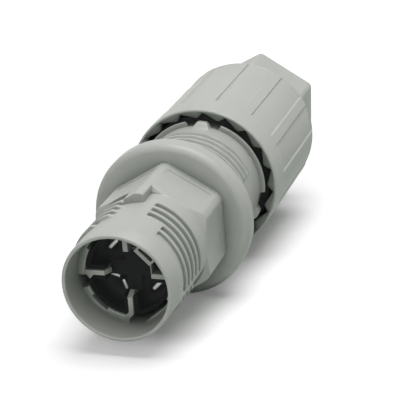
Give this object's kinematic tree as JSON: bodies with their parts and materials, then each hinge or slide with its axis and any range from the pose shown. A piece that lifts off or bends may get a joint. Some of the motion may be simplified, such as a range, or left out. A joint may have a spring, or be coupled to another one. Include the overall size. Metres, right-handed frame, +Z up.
{
  "type": "panel feed-through power connector, plug side",
  "caption": "Round grey plastic power connector for a panel hole: quick-lock collar with blade contacts, wrench hexagon, flange, panel thread and a screw-on cable nut.",
  "frame": {"origin": "on the connector's axis, in the plane of the flange's rear face, where the panel lies", "axes": "+Y along the axis from the mating face to the cable end, +Z up through the corner of the hexagon with the stop lug, +X to the right seen from the mating face"},
  "size_m": [0.0244, 0.076, 0.0244],
  "materials": {
    "grey_plastic": "fine satin moulded",
    "black_plastic": "satin moulded",
    "black_rubber": "matte",
    "tinned_metal": "tin plated"
  },
  "bodies": {
    "housing": {"housing": "grey_plastic", "panel_seal": "black_rubber", "sleeve_seal": "black_rubber", "contact_carrier": "black_plastic", "contact_line": "tinned_metal", "contact_neutral": "tinned_metal", "contact_earth": "tinned_metal"},
    "cable_clamp": {"splice_ring": "black_plastic", "cable_seal": "black_rubber", "clamp_cage": "black_plastic"},
    "nut": {"union_nut": "grey_plastic"}
  },
  "joints": [
    {"name": "clamp_slide", "type": "slide", "parent": "housing", "child": "cable_clamp", "axis": [0, -1, 0], "range_m": [0, 0.004]},
    {"name": "nut_turn", "type": "hinge", "parent": "cable_clamp", "child": "nut", "pos_m": [0, 0.03, 0], "axis": [0, -1, 0], "range_deg": [0, 480.1]}
  ],
  "couplings": [
    {"joint": "nut_turn", "follows": "clamp_slide", "rad_per_m": 2094.4}
  ]
}
